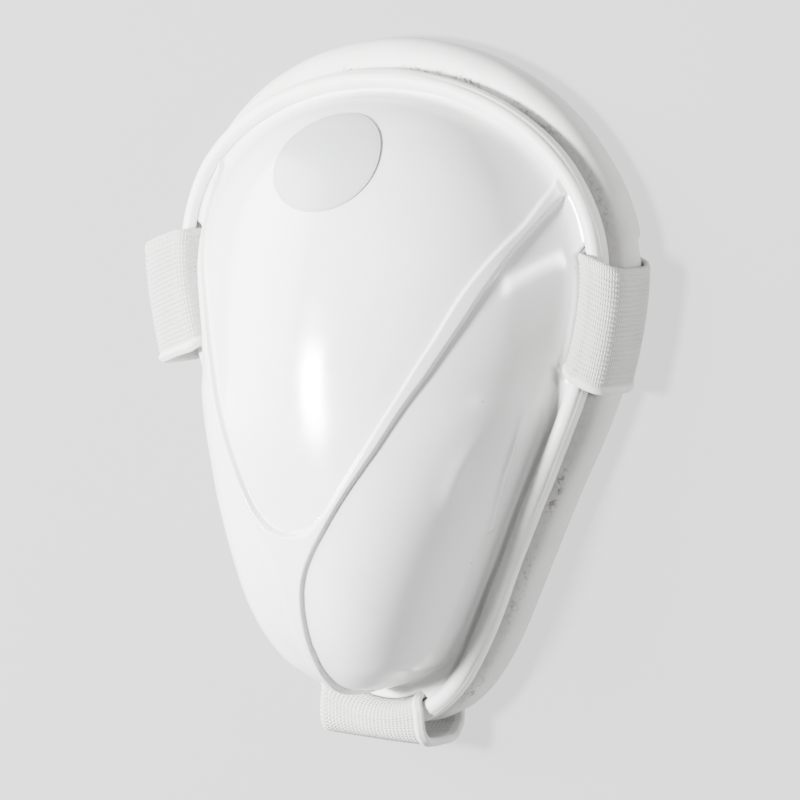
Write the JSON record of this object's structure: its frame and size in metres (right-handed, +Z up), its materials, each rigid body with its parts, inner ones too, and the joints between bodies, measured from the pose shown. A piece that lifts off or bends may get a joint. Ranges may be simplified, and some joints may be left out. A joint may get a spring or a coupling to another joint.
{
  "type": "abdominal guard",
  "caption": "White cricket abdominal guard: glossy moulded cup with raised Y rib, bound leather edge, padded roll and elastic loops",
  "frame": {"origin": "middle of the box on the surface the guard lies on", "axes": "+Z up through the dome, +Y toward the wide waist end, -Y toward the toe, X across"},
  "size_m": [0.1438, 0.1684, 0.0518],
  "materials": {
    "cup_plastic": "gloss",
    "binding_leather": "satin",
    "pad_leather": "satin",
    "elastic": "matt woven",
    "clear_film": "satin"
  },
  "bodies": {
    "root": {"shell": "cup_plastic", "rim_binding": "binding_leather", "rim_pad": "pad_leather", "left_loop": "elastic", "right_loop": "elastic", "toe_loop": "elastic", "label": "clear_film"}
  },
  "joints": []
}
